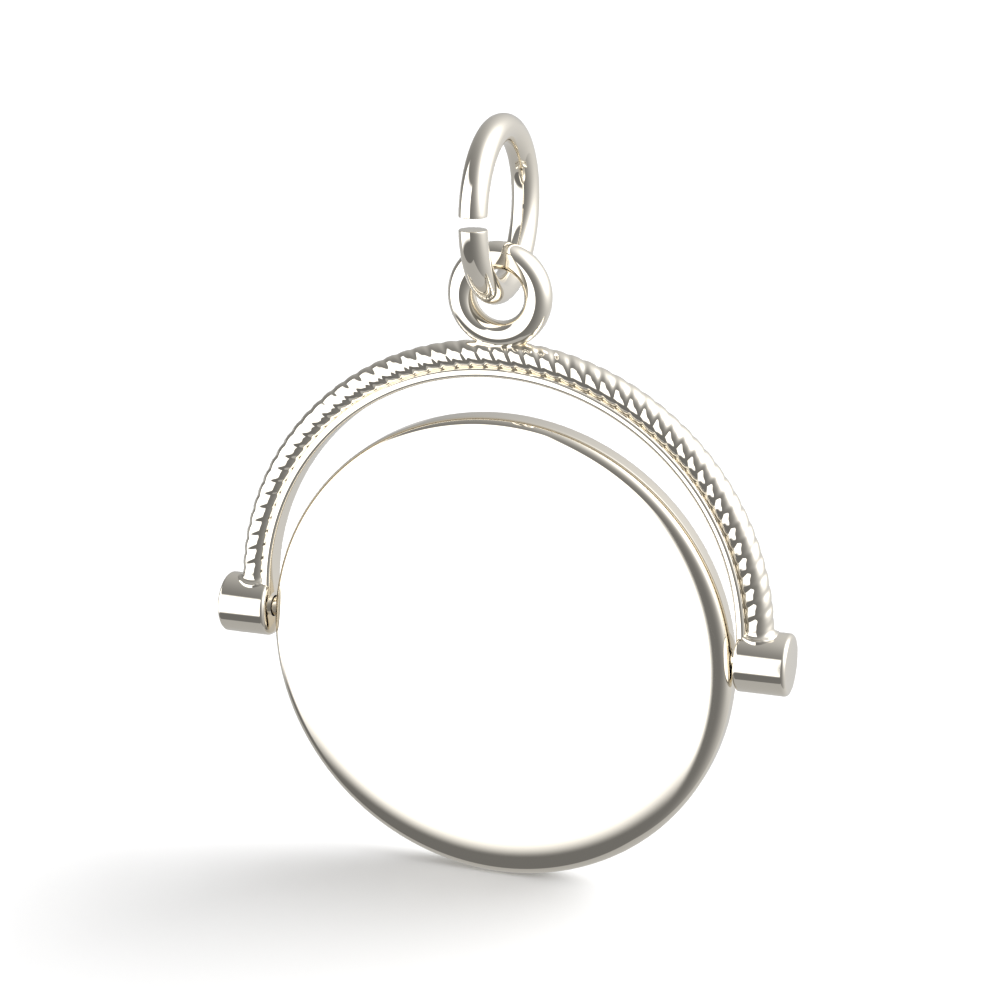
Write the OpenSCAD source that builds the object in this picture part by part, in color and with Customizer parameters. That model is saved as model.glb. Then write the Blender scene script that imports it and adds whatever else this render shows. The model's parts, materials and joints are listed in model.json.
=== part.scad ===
// Spinner charm: a jump ring, a rope-patterned bow with two end barrels, and a disc that turns between them.
// The bow lies in the XZ plane, X runs from barrel to barrel and -Y is the front.
// The origin is the point that hangs: the top of the jump ring's hole.

/* [Disc] */
// Diameter of the disc
disc_d = 17.6; // [17.2:0.05:17.75]
// Thickness of the disc
disc_t = 1.4; // [1:0.05:1.5]
// Rounding of the disc's front and back edges
disc_round = 0.42; // [0.2:0.02:0.44]
// How far the disc's middle lies below the pivots, so that it hangs face forward
disc_drop = 0.6; // [0:0.05:0.65]
// Diameter of the two pivot posts on the disc's edge
post_d = 0.7; // [0.5:0.05:0.8]
// How far each post reaches into its barrel
post_in = 0.85; // [0.5:0.05:0.9]

/* [Barrels] */
// Diameter of the barrels
barrel_d = 2.25; // [2:0.05:2.5]
// Length of each barrel
barrel_l = 1.9; // [1.75:0.05:2.2]
// Distance between the barrels' inner ends
barrel_gap = 17.9; // [17.8:0.05:18]
// Rounding of the barrels' edges
barrel_round = 0.16; // [0.05:0.01:0.3]
// Running clearance round each post, on the radius
post_clear = 0.05; // [0.03:0.01:0.08]
// Depth of each pivot bore
bore_depth = 1.05; // [1:0.05:1.2]

/* [Bow] */
// Radius of the bow, to the middle of its rope wire
bow_r = 9.66; // [9.6:0.02:9.7]
// Height of the bow's centre above the pivots
bow_rise = 0.72; // [0.66:0.02:0.8]
// Diameter of the rope wire, midway between its crests and its grooves
rope_d = 1.04; // [1.02:0.02:1.1]
// Inner radius of the smooth liner that the rope wire is soldered on
liner_r = 8.93; // [8.92:0.01:8.98]
// Thickness of the liner
liner_t = 0.34; // [0.3:0.02:0.42]
// Width of the liner, from front to back
liner_w = 1.1; // [0.9:0.05:1.2]
// Rounding of the liner's edges
liner_round = 0.13; // [0.05:0.01:0.14]

/* [Rings] */
// Radius of the bail ring, to the middle of its wire
bail_r = 1.42; // [1.4:0.02:1.5]
// Wire of the bail ring
bail_wire = 1.0; // [0.9:0.02:1]
// How deep the bail ring is soldered into the bow
bail_sink = 0.28; // [0.2:0.02:0.5]
// Radius of the jump ring, to the middle of its wire
jump_r = 2.82; // [2.7:0.02:3.2]
// Wire of the jump ring
jump_wire = 1.0; // [0.9:0.02:1.1]
// Width of the cut in the jump ring
jump_cut = 0.44; // [0.1:0.02:0.5]
// Degrees that the cut lies above the ring's foremost point
cut_rise = 0; // [-10:1:30]
// Gap between the two rings' wires
ring_gap = 0.2; // [0.1:0.02:0.26]

/* [Hidden] */
$fn = 96;
silver = [0.8, 0.79, 0.77];

jump_z = -(jump_r - jump_wire / 2);
bail_z = jump_z - jump_r + (jump_wire + bail_wire) / 2 + ring_gap - bail_r;
bow_top = bow_rise + bow_r + rope_d / 2;
axis_z = bail_z - bail_r - bail_wire / 2 + bail_sink - bow_top;
barrel_mid = (barrel_gap + barrel_l) / 2;
// How far each post starts inside the disc's rim, and each bore's cutter before its barrel
post_root = 1;
bore_lead = 0.5;

module ring_wire(r, wire) {
    rotate_extrude() translate([r, 0]) circle(d = wire);
}

// A solid turned about its own axis, with rounded edges at both ends
module rounded_disc(r, h, edge) {
    rotate_extrude() {
        translate([0, -h / 2]) square([r - edge, h]);
        translate([0, edge - h / 2]) square([r, h - 2 * edge]);
        for (side = [-1, 1]) translate([r - edge, side * (h / 2 - edge)])
            intersection() {
                circle(r = edge);
                translate([0, -edge]) square([edge, 2 * edge]);
            }
    }
}

module rounded_rectangle(w, h, edge) {
    square([w - 2 * edge, h], center = true);
    square([w, h - 2 * edge], center = true);
    for (x = [-1, 1], y = [-1, 1]) translate([x * (w / 2 - edge), y * (h / 2 - edge)]) circle(r = edge);
}

// The half circle of the bow, a rope wire on its liner, whose feet end inside the barrels
module bow_arch() {
    translate([0, 0, bow_rise]) rotate([90, 0, 0]) rotate_extrude(angle = 180) {
        translate([bow_r, 0]) circle(d = rope_d);
        translate([liner_r + liner_t / 2, 0]) rounded_rectangle(liner_t, liner_w, liner_round);
    }
}

module jump_ring() {
    color(silver) translate([0, 0, jump_z]) difference() {
        rotate([0, 90, 0]) ring_wire(jump_r, jump_wire);
        rotate([-cut_rise, 0, 0]) translate([0, -jump_r, 0])
            cube([2 * jump_wire, 2 * jump_wire, jump_cut], center = true);
    }
}

module bow_frame() {
    color(silver) translate([0, 0, axis_z]) difference() {
        union() {
            bow_arch();
            for (side = [-1, 1]) translate([side * barrel_mid, 0, 0]) rotate([0, 90, 0])
                rounded_disc(barrel_d / 2, barrel_l, barrel_round);
            translate([0, 0, bail_z - axis_z]) rotate([90, 0, 0]) ring_wire(bail_r, bail_wire);
        }
        for (side = [-1, 1]) rotate([0, side * 90, 0]) translate([0, 0, barrel_gap / 2 - bore_lead])
            cylinder(d = post_d + 2 * post_clear, h = bore_depth + bore_lead);
    }
}

module disc() {
    color(silver) translate([0, 0, axis_z]) {
        translate([0, 0, -disc_drop]) rotate([90, 0, 0]) rounded_disc(disc_d / 2, disc_t, disc_round);
        for (side = [-1, 1]) rotate([0, side * 90, 0]) translate([0, 0, disc_d / 2 - post_root])
            cylinder(d = post_d, h = barrel_gap / 2 + post_in - disc_d / 2 + post_root);
    }
}

jump_ring();
bow_frame();
disc();
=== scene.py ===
# Spinner charm in polished sterling silver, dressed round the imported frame. Everything is in metres.
import json
import math

import bpy
import numpy as np
from mathutils import Matrix, Vector


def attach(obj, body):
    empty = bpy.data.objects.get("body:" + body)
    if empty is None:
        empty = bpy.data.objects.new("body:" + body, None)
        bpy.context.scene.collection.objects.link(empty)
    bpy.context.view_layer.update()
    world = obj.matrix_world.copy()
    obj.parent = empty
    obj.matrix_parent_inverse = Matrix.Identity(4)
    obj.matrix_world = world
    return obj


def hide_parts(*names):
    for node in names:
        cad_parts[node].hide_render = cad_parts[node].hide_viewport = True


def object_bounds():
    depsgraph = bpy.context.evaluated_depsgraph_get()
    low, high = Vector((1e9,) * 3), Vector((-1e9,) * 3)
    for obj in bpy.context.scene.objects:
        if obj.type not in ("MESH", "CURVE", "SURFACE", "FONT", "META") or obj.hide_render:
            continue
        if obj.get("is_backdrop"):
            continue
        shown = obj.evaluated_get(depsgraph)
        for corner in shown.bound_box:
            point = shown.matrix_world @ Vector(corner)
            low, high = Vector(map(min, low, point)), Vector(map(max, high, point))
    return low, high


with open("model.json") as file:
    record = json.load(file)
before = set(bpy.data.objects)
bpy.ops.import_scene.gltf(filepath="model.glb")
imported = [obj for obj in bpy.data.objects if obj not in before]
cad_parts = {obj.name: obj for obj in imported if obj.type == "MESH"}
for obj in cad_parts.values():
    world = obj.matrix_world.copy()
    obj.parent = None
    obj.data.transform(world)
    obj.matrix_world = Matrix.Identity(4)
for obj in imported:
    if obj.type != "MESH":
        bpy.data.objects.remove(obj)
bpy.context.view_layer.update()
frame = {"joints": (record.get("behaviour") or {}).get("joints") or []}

mm = 0.001
jointPlace = {joint["name"]: joint["pos_m"] for joint in frame["joints"]}
pivotZ = jointPlace["disc_spin"][2]  # height of the disc's pivots
swingZ = jointPlace["pendant_swing"][2]  # height of the jump ring's lowest wire
print("frame loaded, pivots at", round(pivotZ / mm, 2), "mm")


# Angles of a whole turn in equal steps, without the last, which would be the first again
def fullTurn(count):
    return np.linspace(0, 2 * np.pi, count, endpoint=False)


# Rows of points round a closed section, joined by quads. The rows close into a loop, or a fan caps an end
def gridMesh(name, points, closeRows=False, capStart=False, capEnd=False):
    rows, columns = points.shape[:2]
    index = np.arange(rows * columns).reshape(rows, columns)
    down = np.vstack([index, index[:1]]) if closeRows else index
    both = np.hstack([down, down[:, :1]])
    quads = np.stack([both[:-1, :-1], both[:-1, 1:], both[1:, 1:], both[1:, :-1]], -1)
    vertices = points.reshape(-1, 3)
    faces = quads.reshape(-1, 4).tolist()
    for wanted, row, order in ((capStart, 0, -1), (capEnd, -1, 1)):
        if wanted:
            vertices = np.vstack([vertices, points[row].mean(0)])
            rim = [index[row], np.roll(index[row], -1)][::order]
            faces += np.stack([*rim, np.full(columns, len(vertices) - 1)], -1).tolist()
    mesh = bpy.data.meshes.new(name)
    mesh.from_pydata(vertices.tolist(), [], faces)
    mesh.polygons.foreach_set("use_smooth", np.ones(len(mesh.polygons), bool))
    mesh.update()
    piece = bpy.data.objects.new(name, mesh)
    bpy.context.scene.collection.objects.link(piece)
    return piece


# Turns the faces over where the enclosed volume comes out negative. It has the sign of the sum of a . (b x c)
# over the triangles, a, b and c being their corners
def faceOutwards(piece):
    mesh = piece.data
    mesh.calc_loop_triangles()
    corners = np.empty(len(mesh.loop_triangles) * 3, int)
    mesh.loop_triangles.foreach_get("vertices", corners)
    places = np.empty(len(mesh.vertices) * 3)
    mesh.vertices.foreach_get("co", places)
    a, b, c = places.reshape(-1, 3)[corners.reshape(-1, 3)].transpose(1, 0, 2)
    if np.einsum("ij,ij->i", a, np.cross(b, c)).sum() < 0:
        mesh.flip_normals()


# An sRGB colour such as #F6F0E4 as linear red, green, blue and alpha, by the sRGB curve
def hexColour(text):
    channels = np.array([int(text[i:i + 2], 16) for i in (1, 3, 5)]) / 255
    linear = np.where(channels <= 0.04045, channels / 12.92, ((channels + 0.055) / 1.055) ** 2.4)
    return (*linear.tolist(), 1.0)


# Adds one node: settings are its own properties, links and values go by input name or number
def addNode(tree, kind, inputs=None, **settings):
    node = tree.nodes.new(kind)
    for key, value in settings.items():
        setattr(node, key, value)
    for key, value in (inputs or {}).items():
        if isinstance(value, bpy.types.NodeSocket):
            tree.links.new(value, node.inputs[key])
        else:
            node.inputs[key].default_value = value
    return node


silverLook = {
    "bright": "#F6F0E4",  # clean sterling silver
    "roughness": (0.021, 0.0525),  # between the fine marks and on them
    "scratchSpacing": 0.12 * mm,  # buffing marks, drawn coarser than life so that they show
    "scratchDetail": 3,
    "scratchDepth": 0.00006 * mm,
    "ripple": 1.9 * mm,  # slow waves left by hand polishing
    "rippleDetail": 1,
    "rippleDepth": 0.0006 * mm,
}


# Sterling silver, mirror-polished on a buff: a metal with a faint warm tone, slow ripples and fine marks
def polishedSilver(name):
    look = silverLook
    material = bpy.data.materials.new(name)
    material.use_nodes = True
    tree = material.node_tree
    tree.nodes.clear()
    place = addNode(tree, "ShaderNodeTexCoord").outputs["Object"]
    marks = addNode(tree, "ShaderNodeTexNoise", {
        "Vector": place,
        "Scale": 1 / look["scratchSpacing"],
        "Detail": look["scratchDetail"],
    }).outputs["Fac"]
    waves = addNode(tree, "ShaderNodeTexNoise", {
        "Vector": place,
        "Scale": 1 / look["ripple"],
        "Detail": look["rippleDetail"],
    }).outputs["Fac"]
    fine = addNode(tree, "ShaderNodeBump", {"Height": marks, "Distance": look["scratchDepth"]})
    slow = addNode(tree, "ShaderNodeBump", {
        "Height": waves,
        "Distance": look["rippleDepth"],
        "Normal": fine.outputs["Normal"],
    })
    smooth, marked = look["roughness"]
    sheen = addNode(tree, "ShaderNodeMapRange", {"Value": marks, "To Min": smooth, "To Max": marked})
    shader = addNode(tree, "ShaderNodeBsdfPrincipled", {
        "Metallic": 1.0,
        "Base Color": hexColour(look["bright"]),
        "Roughness": sheen.outputs["Result"],
        "Normal": slow.outputs["Normal"],
    })
    addNode(tree, "ShaderNodeOutputMaterial", {"Surface": shader.outputs["BSDF"]})
    return material


silver = polishedSilver("mirrorPolishedSilver")
print("materials made")


# Faces outwards, edges that turn more than the angle kept crisp, and all of it in silver on its body
def finishPiece(piece, body, node, crispAngle=None):
    faceOutwards(piece)
    if crispAngle:
        piece.data.set_sharp_from_angle(angle=math.radians(crispAngle))
    piece.data.materials.append(silver)
    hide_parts(node)
    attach(piece, body)


# Points of an arc from one angle t to another, in degrees: (x + radius * cos t, y + radius * sin t)
def arcPoints(x, y, radius, start, end, count):
    t = np.radians(np.linspace(start, end, count))
    return np.stack([x + radius * np.cos(t), y + radius * np.sin(t)], -1)


# A profile of (radius, height) turned about an axis through centre: centre + height * along + radius * spoke,
# where the spoke is cos t * across + sin t * (along x across)
def turned(name, profile, centre, along, across, segments):
    radius, height = np.array(profile).T
    angle = fullTurn(segments)[:, None]
    along, across = np.array(along, float), np.array(across, float)
    spoke = np.cos(angle) * across + np.sin(angle) * np.cross(along, across)
    points = np.array(centre) + height[:, None, None] * along + radius[:, None, None] * spoke
    return gridMesh(name, points, capStart=True, capEnd=True)


jumpRing = {
    "radius": 2.82 * mm,  # to the middle of its wire
    "wire": 0.5 * mm,  # radius of the wire
    "cut": 0.44 * mm,  # at the foremost point
    "burr": 0.03 * mm,  # rounding left on the cut's rims
    "burrRings": 5,
    "stations": 240,
    "around": 72,
    "crispAngle": 40,
}


# A torus whose ends are flat parallel faces: from the cut, the angle runs from asin(h / rho) to
# 2 pi - asin(h / rho), where rho is each point's distance from the ring's axis and h is half of the cut.
# Each of the cut's rims is a quarter round
def makeJumpRing():
    ring = jumpRing
    wire, burr = ring["wire"], ring["burr"]
    quarter = np.linspace(0, np.pi / 2, ring["burrRings"])
    rimRadius = wire - burr * (1 - np.sin(quarter))
    rimInset = burr * (1 - np.cos(quarter))
    between = np.linspace(0, 1, ring["stations"])[1:-1]
    radius = np.concatenate([rimRadius, wire + 0 * between, rimRadius[::-1]])[:, None]
    inset = np.concatenate([rimInset, burr + 0 * between, rimInset[::-1]])[:, None]
    share = np.concatenate([0 * quarter, between, 1 + 0 * quarter])[:, None]
    turn = fullTurn(ring["around"])
    rho = ring["radius"] + radius * np.cos(turn)
    half = np.arcsin((ring["cut"] / 2 + inset) / rho)
    angle = np.pi + half + share * (2 * np.pi - 2 * half)
    height = swingZ + ring["radius"] + rho * np.sin(angle)
    points = np.stack([radius * np.sin(turn), rho * np.cos(angle), height], -1)
    piece = gridMesh("jumpRingWire", points, capStart=True, capEnd=True)
    finishPiece(piece, "ring", "jump_ring", ring["crispAngle"])


makeJumpRing()
print("jump ring made")

bail = {
    "radius": 1.42 * mm,  # to the middle of its wire
    "wire": 0.5 * mm,  # radius of the wire
    "drop": 0.22 * mm,  # its middle lies this far below the jump ring's lowest wire
    "stations": 192,
    "around": 72,
}


# A closed torus in the XZ plane: rho = radius + wire * cos t, and y = wire * sin t
def makeBailRing():
    angle = fullTurn(bail["stations"])[:, None]
    turn = fullTurn(bail["around"])
    rho = bail["radius"] + bail["wire"] * np.cos(turn)
    y = bail["wire"] * np.sin(turn) + 0 * angle
    points = np.stack([rho * np.cos(angle), y, swingZ - bail["drop"] + rho * np.sin(angle)], -1)
    finishPiece(gridMesh("bailRing", points, closeRows=True), "pendant", "bow_frame")


makeBailRing()
print("bail ring made")

barrel = {
    "radius": 1.125 * mm,
    "length": 1.9 * mm,
    "gap": 17.9 * mm,  # between the two barrels' inner ends
    "rounding": 0.16 * mm,
    "roundingSteps": 10,
    "bore": 0.4 * mm,
    "boreDepth": 1.05 * mm,
    "lip": 0.02 * mm,  # rounding at the bore's mouth
    "lipSteps": 4,
    "segments": 128,
    "crispAngle": 35,
}

bow = {
    "rise": 0.72 * mm,  # height of its centre above the pivots
    "foot": 0.9,  # degrees that it runs down past the half circle, into the barrels
    "radius": 9.66 * mm,  # to the middle of the rope wire
    "wire": 0.52 * mm,  # mean radius of the rope wire
    "wave": 0.015 * mm,  # how far its ridges stand out of that and its grooves lie below it
    "ridges": 3,  # round the section
    "lay": 1.7 * mm,  # length in which a ridge goes once round
    "hand": -1,  # which way the ridges wind
    "fadeFrom": 1,  # degrees above the foot at which the pattern starts, and where it is whole
    "fadeTo": 7,
    "fillet": 0.2 * mm,  # solder at the foot, where the wire meets its barrel
    "stations": 900,
    "around": 96,
    "linerRadius": 8.93 * mm,  # inner radius of the smooth liner
    "linerThick": 0.34 * mm,
    "linerWide": 1.1 * mm,
    "linerRound": 0.13 * mm,
    "linerSteps": 9,
    "linerStations": 360,
    "linerCrispAngle": 50,
}


# Rises from 0 at the start to 1 at the end without a corner: share^2 * (3 - 2 * share)
def smoothStep(value, start, end):
    share = np.clip((value - start) / (end - start), 0, 1)
    return share * share * (3 - 2 * share)


# Sweeps a section of (outward, forward) points along the half circle, where outward is (cos a, sin a) in XZ
def alongBow(outward, forward, angle):
    height = pivotZ + bow["rise"] + outward * np.sin(angle)
    return np.stack([outward * np.cos(angle), -forward + 0 * angle, height], -1)


# Angles from the right foot over the top to the left one, a little more than a half circle
def bowAngles(stations):
    foot = math.radians(bow["foot"])
    return np.linspace(-foot, math.pi + foot, stations)[:, None]


# A round wire with a rope pattern: radius = mean + wave * (1 - 2 u^2), where u is
# (1 - cos(ridges * (t - twist))) / 2, the twist grows with the length and the wave dies away at the feet.
# There the radius also grows as a quarter-round fillet, f - sqrt(f^2 - (f - h)^2), where h is the height
# above the barrel
def makeRopeWire():
    turn = fullTurn(bow["around"])
    angle = bowAngles(bow["stations"])
    twist = bow["hand"] * 2 * np.pi * bow["radius"] * angle / bow["lay"]
    groove = (1 - np.cos(bow["ridges"] * (turn - twist))) / 2
    fromFoot = np.degrees(np.pi / 2 - np.abs(angle - np.pi / 2))
    share = smoothStep(fromFoot, bow["fadeFrom"], bow["fadeTo"])
    reach = bow["wire"] + bow["wave"] * share * (1 - 2 * groove ** 2)
    rise = bow["rise"] + (bow["radius"] + reach * np.cos(turn)) * np.sin(angle)
    height = rise - np.sqrt(barrel["radius"] ** 2 - (reach * np.sin(turn)) ** 2)
    below = np.clip(bow["fillet"] - height, 0, bow["fillet"])
    reach = reach + bow["fillet"] - np.sqrt(bow["fillet"] ** 2 - below ** 2)
    points = alongBow(bow["radius"] + reach * np.cos(turn), reach * np.sin(turn), angle)
    finishPiece(gridMesh("ropeWire", points, capStart=True, capEnd=True), "pendant", "bow_frame")


# The smooth liner inside the rope wire: a flat strip with rounded edges, bent round the same half circle
def makeBowLiner():
    edge = bow["linerRound"]
    x, y = bow["linerThick"] / 2 - edge, bow["linerWide"] / 2 - edge
    corners = ((x, y, 0), (-x, y, 90), (-x, -y, 180), (x, -y, 270))
    arcs = [arcPoints(a, b, edge, start, start + 90, bow["linerSteps"]) for a, b, start in corners]
    outward, forward = np.vstack(arcs).T[:, None, :]
    outward = outward + bow["linerRadius"] + bow["linerThick"] / 2
    points = alongBow(outward, forward, bowAngles(bow["linerStations"]))
    piece = gridMesh("bowLiner", points, capStart=True, capEnd=True)
    finishPiece(piece, "pendant", "bow_frame", bow["linerCrispAngle"])


makeRopeWire()
makeBowLiner()
print("bow made")


# A short cylinder with rounded rims and a blind bore in its inner end, turned about X
def makeBarrel(name, side):
    b = barrel
    edge, lip, steps = b["rounding"], b["lip"], b["roundingSteps"]
    profile = np.vstack([
        [[b["bore"], b["boreDepth"]]],
        arcPoints(b["bore"] + lip, lip, lip, 180, 270, b["lipSteps"]),
        arcPoints(b["radius"] - edge, edge, edge, 270, 360, steps),
        arcPoints(b["radius"] - edge, b["length"] - edge, edge, 0, 90, steps),
    ])
    centre = (side * b["gap"] / 2, 0, pivotZ)
    piece = turned(name, profile, centre, (side, 0, 0), (0, 0, 1), b["segments"])
    finishPiece(piece, "pendant", "bow_frame", b["crispAngle"])


makeBarrel("leftBarrel", -1)
makeBarrel("rightBarrel", 1)
print("barrels made")

spinner = {
    "radius": 8.8 * mm,
    "thickness": 1.4 * mm,
    "drop": 0.6 * mm,  # its middle lies this far below the pivots
    "fall": 0.042 * mm,  # how far buffing has lowered each face at its edge
    "fallWidth": 1.2 * mm,
    "fallPower": 3,
    "faceRings": 90,
    "edge": 0.42 * mm,  # rounding between the face and the rim
    "edgeRings": 24,
    "pole": 0.001 * mm,  # radius of the ring round each face's middle, which a fan closes
    "segments": 384,
    "crispAngle": 30,
}


# A thick disc with soft edges. Near the edge each face falls as fall * share ^ power, as buffing leaves it,
# then turns through a quarter round that starts at the same slope, and meets a straight rim
def makeDisc():
    s = spinner
    half, edge, width = s["thickness"] / 2, s["edge"], s["fallWidth"]
    lean = math.atan(s["fall"] * s["fallPower"] / width)
    faceEnd = s["radius"] - edge * (1 - math.sin(lean))
    share = np.linspace(0, 1, s["faceRings"])
    face = np.stack([faceEnd - width * (1 - share), half - s["fall"] * share ** s["fallPower"]], -1)
    edgeHeight = face[-1, 1] - edge * math.cos(lean)
    edgeStart = 90 - math.degrees(lean)
    curve = arcPoints(s["radius"] - edge, edgeHeight, edge, edgeStart, 0, s["edgeRings"])[1:]
    front = np.vstack([[[s["pole"], half]], face, curve])
    profile = np.vstack([front, front[::-1] * [1, -1]])
    centre = (0, 0, pivotZ - s["drop"])
    piece = turned("spinnerDisc", profile, centre, (0, -1, 0), (1, 0, 0), s["segments"])
    finishPiece(piece, "spinner", "disc", s["crispAngle"])


post = {
    "radius": 0.35 * mm,
    "inside": 0.85 * mm,  # how far it reaches into its barrel
    "root": 1.0 * mm,  # how far inside the disc's rim it starts
    "tip": 0.06 * mm,  # rounding of its end
    "tipSteps": 6,
    "segments": 64,
    "crispAngle": 40,
}


# A pivot post: a round pin with a rounded tip, from inside the disc's rim into its barrel
def makePost(name, side):
    start, end = spinner["radius"] - post["root"], barrel["gap"] / 2 + post["inside"]
    tip = post["tip"]
    rounded = arcPoints(post["radius"] - tip, end - tip, tip, 0, 90, post["tipSteps"])
    profile = np.vstack([[[post["radius"], start]], rounded])
    piece = turned(name, profile, (0, 0, pivotZ), (side, 0, 0), (0, 0, 1), post["segments"])
    finishPiece(piece, "spinner", "disc", post["crispAngle"])


makeDisc()
makePost("leftPivotPost", -1)
makePost("rightPivotPost", 1)
print("disc made")


# Unit vector towards a place: azimuth from the front to the right, and elevation, both in degrees
def towards(azimuth, elevation):
    a, e = math.radians(azimuth), math.radians(elevation)
    return Vector((math.sin(a) * math.cos(e), -math.cos(a) * math.cos(e), math.sin(e)))


view = {
    "azimuth": 18.92,  # degrees that the camera stands to the right of the front
    "elevation": 16.75,
    "distance": 91.94 * mm,  # along its line, from the middle between the pivots
    "lift": 4.811 * mm,  # how far the camera is raised square to its line, to place the charm in the frame
    "lens": 90.57,
    "sensor": 36,
    "nearest": 1 * mm,
    "farthest": 10,
}


# A camera that looks along the line fitted to the photo, upright, from a place a little above that line
def placeCamera():
    back = towards(view["azimuth"], view["elevation"])
    up = towards(view["azimuth"], view["elevation"] + 90)
    data = bpy.data.cameras.new("camera")
    data.lens = view["lens"]
    data.sensor_width = view["sensor"]
    data.clip_start, data.clip_end = view["nearest"], view["farthest"]
    camera = bpy.data.objects.new("camera", data)
    place = Vector((0, 0, pivotZ)) + back * view["distance"] + up * view["lift"]
    turn = Matrix((up.cross(back), up, back)).transposed().to_4x4()
    camera.matrix_world = Matrix.Translation(place) @ turn
    bpy.context.scene.collection.objects.link(camera)
    bpy.context.scene.camera = camera


sky = {
    "base": 0.165,  # grey of the room where no light reaches
    "lobes": [(94, 36, 13.0, 3.2), (130, 22, 2.0, 0.68)],  # azimuth, elevation, tightness, strength
    "cardSides": (-92, -7),  # azimuths of a white card at the left front
    "cardEnds": (-26, 34),  # its two elevations
    "cardSoft": (1.6, 4.0),  # softness in degrees, of its sides and of its two ends
    "cardLight": 1.9,
    "table": 0.44,  # white table top below, and how much brighter it is towards the second light
    "tableGain": 0.36,
    "tableCorner": (0.07, 0.78),  # its corner nearest the front, in heights of the charm above it
    "tableSlopes": (0.38, -1.45),  # of the two edges that meet there
    "tableSoft": 0.02,
}


# The room as the polished metal sees it: grey walls that brighten round two soft lights as
# ((1 + d . l) / 2) ^ tightness, a white card between two azimuths and two elevations, and a white table top
# below, whose two front edges are planes through the charm. A mask is the product of its edges' smooth steps,
# each of which is the upper value of the next
def makeWorld():
    world = bpy.data.worlds.new("studio")
    bpy.context.scene.world = world
    world.use_nodes = True
    tree = world.node_tree
    tree.nodes.clear()
    look = addNode(tree, "ShaderNodeTexCoord").outputs["Generated"]
    x, y, z = addNode(tree, "ShaderNodeSeparateXYZ", {"Vector": look}).outputs

    light = sky["base"]
    for azimuth, elevation, tightness, strength in sky["lobes"]:
        lamp = tuple(towards(azimuth, elevation))
        facing = addNode(tree, "ShaderNodeVectorMath", {0: look, 1: lamp}, operation="DOT_PRODUCT")
        half = {0: facing.outputs["Value"], 1: 0.5, 2: 0.5}
        share = addNode(tree, "ShaderNodeMath", half, operation="MULTIPLY_ADD").outputs[0]
        near = addNode(tree, "ShaderNodeMath", {0: share, 1: tightness}, operation="POWER").outputs[0]
        terms = {0: near, 1: strength, 2: light}
        light = addNode(tree, "ShaderNodeMath", terms, operation="MULTIPLY_ADD").outputs[0]
    terms = {0: near, 1: sky["tableGain"], 2: sky["table"]}
    tableLight = addNode(tree, "ShaderNodeMath", terms, operation="MULTIPLY_ADD").outputs[0]

    soft = sky["tableSoft"]
    cornerX, cornerY = sky["tableCorner"]
    band = {"Value": z, "From Min": soft, "From Max": -soft}
    table = addNode(tree, "ShaderNodeMapRange", band, interpolation_type="SMOOTHSTEP").outputs["Result"]
    for slope in sky["tableSlopes"]:
        square = (slope, 1, slope * cornerX - cornerY)
        inside = addNode(tree, "ShaderNodeVectorMath", {0: look, 1: square}, operation="DOT_PRODUCT")
        band = {"Value": inside.outputs["Value"], "From Min": -soft, "From Max": soft, "To Max": table}
        table = addNode(tree, "ShaderNodeMapRange", band, interpolation_type="SMOOTHSTEP").outputs["Result"]

    front = addNode(tree, "ShaderNodeMath", {0: y, 1: -1.0}, operation="MULTIPLY").outputs[0]
    azimuth = addNode(tree, "ShaderNodeMath", {0: x, 1: front}, operation="ARCTAN2").outputs[0]
    elevation = addNode(tree, "ShaderNodeMath", {0: z}, operation="ARCSINE").outputs[0]
    left, right = sky["cardSides"]
    low, high = sky["cardEnds"]
    sideSoft, endSoft = sky["cardSoft"]
    edges = (
        (azimuth, left, sideSoft),
        (azimuth, right, -sideSoft),
        (elevation, low, endSoft),
        (elevation, high, -endSoft),
    )
    card = 1.0
    for angle, edge, width in edges:
        start, end = math.radians(edge - width), math.radians(edge + width)
        band = {"Value": angle, "From Min": start, "From Max": end, "To Max": card}
        card = addNode(tree, "ShaderNodeMapRange", band, interpolation_type="SMOOTHSTEP").outputs["Result"]

    layers = {"Factor": table, "A": light, "B": tableLight}
    withTable = addNode(tree, "ShaderNodeMix", layers, data_type="FLOAT").outputs[0]
    layers = {"Factor": card, "A": withTable, "B": sky["cardLight"]}
    withCard = addNode(tree, "ShaderNodeMix", layers, data_type="FLOAT").outputs[0]
    background = addNode(tree, "ShaderNodeBackground", {"Color": withCard, "Strength": 1.0})
    addNode(tree, "ShaderNodeOutputWorld", {"Surface": background.outputs["Background"]})


paleCard = {
    "colour": "#E7E7E7",  # pale grey, because the room and the key light bring it up to white
    "roughness": 0.9,
    "reach": 1.0,
}


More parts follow.
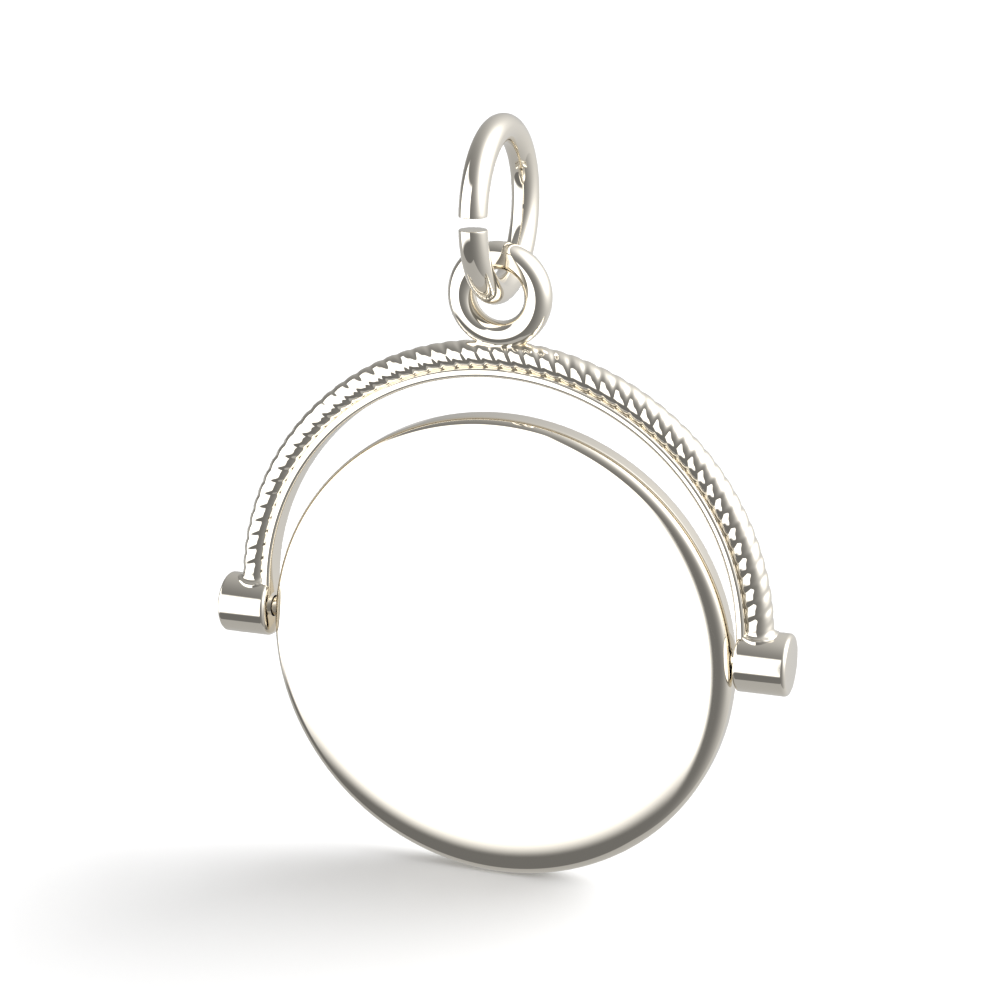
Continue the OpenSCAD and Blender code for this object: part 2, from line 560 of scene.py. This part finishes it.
# A matt card under the charm, too dull to mirror anything, which only takes the soft shadow
def makeFloor():
    height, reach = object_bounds()[0].z, paleCard["reach"]
    corners = [(x * reach, y * reach, height) for x, y in ((-1, -1), (1, -1), (1, 1), (-1, 1))]
    mesh = bpy.data.meshes.new("floor")
    mesh.from_pydata(corners, [], [(0, 1, 2, 3)])
    floor = bpy.data.objects.new("floor", mesh)
    bpy.context.scene.collection.objects.link(floor)
    material = bpy.data.materials.new("paleCard")
    material.use_nodes = True
    shader = material.node_tree.nodes["Principled BSDF"]
    shader.inputs["Base Color"].default_value = hexColour(paleCard["colour"])
    shader.inputs["Roughness"].default_value = paleCard["roughness"]
    mesh.materials.append(material)
    floor.visible_glossy = False  # the metal sees the table of the studio instead
    floor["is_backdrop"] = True


backdrop = {"radius": 0.9, "below": 0.1, "rings": 24, "around": 64, "light": 1.2}


# A white dome that only the camera sees, so that the background is white from every side:
# radius * (cos h * cos a, cos h * sin a, sin h), from straight up to a little below the floor
def makeBackdrop():
    azimuth = fullTurn(backdrop["around"])
    height = np.linspace(np.pi / 2, -backdrop["below"], backdrop["rings"])[1:, None]
    across = np.cos(height)
    points = np.stack([across * np.cos(azimuth), across * np.sin(azimuth), np.sin(height) + 0 * azimuth], -1)
    dome = gridMesh("backdrop", backdrop["radius"] * points + [0, 0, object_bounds()[0].z], capStart=True)
    material = bpy.data.materials.new("whiteBackdrop")
    material.use_nodes = True
    tree = material.node_tree
    tree.nodes.clear()
    white = {"Color": hexColour("#FFFFFF"), "Strength": backdrop["light"]}
    glow = addNode(tree, "ShaderNodeEmission", white)
    addNode(tree, "ShaderNodeOutputMaterial", {"Surface": glow.outputs["Emission"]})
    dome.data.materials.append(material)
    dome.visible_diffuse = dome.visible_glossy = dome.visible_transmission = dome.visible_shadow = False
    dome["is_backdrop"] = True


sun = {"azimuth": 132, "elevation": 36, "spread": 58, "strength": 2.75}


# The key light behind the charm's right, as a wide soft sun that only the floor shows
def makeSun():
    data = bpy.data.lights.new("key", "SUN")
    data.angle = math.radians(sun["spread"])
    data.energy = sun["strength"]
    lamp = bpy.data.objects.new("key", data)
    away = towards(sun["azimuth"], sun["elevation"])
    lamp.matrix_world = away.to_track_quat("Z", "Y").to_matrix().to_4x4()
    lamp.visible_glossy = False
    bpy.context.scene.collection.objects.link(lamp)


placeCamera()
makeWorld()
makeFloor()
makeBackdrop()
makeSun()
bpy.context.scene.view_settings.view_transform = "Standard"
print("studio made")
